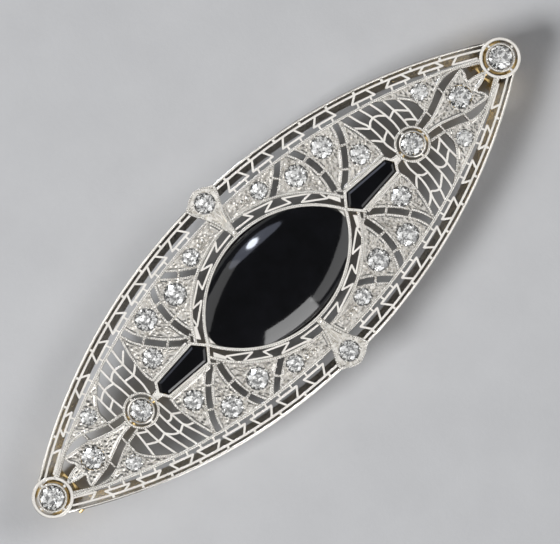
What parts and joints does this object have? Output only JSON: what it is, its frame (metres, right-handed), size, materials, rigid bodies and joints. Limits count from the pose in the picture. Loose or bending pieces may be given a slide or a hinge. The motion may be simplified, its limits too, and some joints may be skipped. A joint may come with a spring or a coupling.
{
  "type": "brooch",
  "caption": "Pointed-oval openwork brooch with a black cabochon, black tablets, round diamonds, a hinged pin stem and a turning safety catch.",
  "frame": {"origin": "centre of the bounding box in plan, at the bottom, where the hinge cheeks touch the table", "axes": "+X along the brooch towards the hinge end, +Y across it, +Z from the table to the face"},
  "size_m": [0.0704, 0.0252, 0.0096],
  "materials": {
    "platinum": "polished white metal with milgrained edges and bright-cut plates",
    "yellow_gold": "polished yellow gold",
    "black_onyx": "polished black stone",
    "diamond": "old-cut faceted stone"
  },
  "bodies": {
    "frame": {"gallery_north": "platinum", "gallery_south": "platinum", "rim_wires": "platinum", "dovetail_border_ne": "platinum", "dovetail_border_nw": "platinum", "dovetail_border_se": "platinum", "dovetail_border_sw": "platinum", "inner_rail_north": "platinum", "inner_rail_south": "platinum", "petal_panel_ne": "platinum", "petal_panel_nw": "platinum", "petal_panel_se": "platinum", "petal_panel_sw": "platinum", "leaf_plate_ne": "platinum", "leaf_plate_nw": "platinum", "leaf_plate_se": "platinum", "leaf_plate_sw": "platinum", "wing_filigree_ne": "platinum", "wing_filigree_nw": "platinum", "wing_filigree_se": "platinum", "wing_filigree_sw": "platinum", "tulip_plate_east": "platinum", "tulip_plate_west": "platinum", "side_ornament_north": "platinum", "side_ornament_south": "platinum", "marquise_bezel": "platinum", "marquise_border_north": "platinum", "marquise_border_south": "platinum", "marquise_rail_north": "platinum", "marquise_rail_south": "platinum", "onyx_frame_east": "platinum", "onyx_frame_west": "platinum", "inner_collet_east": "platinum", "inner_collet_west": "platinum", "end_collet_east": "platinum", "end_collet_west": "platinum", "onyx_cabochon": "black_onyx", "onyx_tablet_east": "black_onyx", "onyx_tablet_west": "black_onyx", "petal_diamonds_ne": "diamond", "petal_diamonds_nw": "diamond", "petal_diamonds_se": "diamond", "petal_diamonds_sw": "diamond", "leaf_diamond_ne": "diamond", "leaf_diamond_nw": "diamond", "leaf_diamond_se": "diamond", "leaf_diamond_sw": "diamond", "tulip_diamond_east": "diamond", "tulip_diamond_west": "diamond", "side_diamonds": "diamond", "inner_diamond_east": "diamond", "inner_diamond_west": "diamond", "end_diamond_east": "diamond", "end_diamond_west": "diamond", "hinge_bracket": "yellow_gold", "hinge_rivet": "yellow_gold", "catch_body": "yellow_gold"},
    "pin": {"pin_stem": "yellow_gold"},
    "rotor": {"catch_rotor": "yellow_gold"}
  },
  "joints": [
    {"name": "pin_hinge", "type": "hinge", "parent": "frame", "child": "pin", "pos_m": [0.0322, 0, 0.0017], "axis": [0, -1, 0], "range_deg": [0, 100]},
    {"name": "catch_turn", "type": "hinge", "parent": "frame", "child": "rotor", "pos_m": [-0.0324, 0, 0.0017], "axis": [1, 0, 0], "range_deg": [0, 180]}
  ]
}
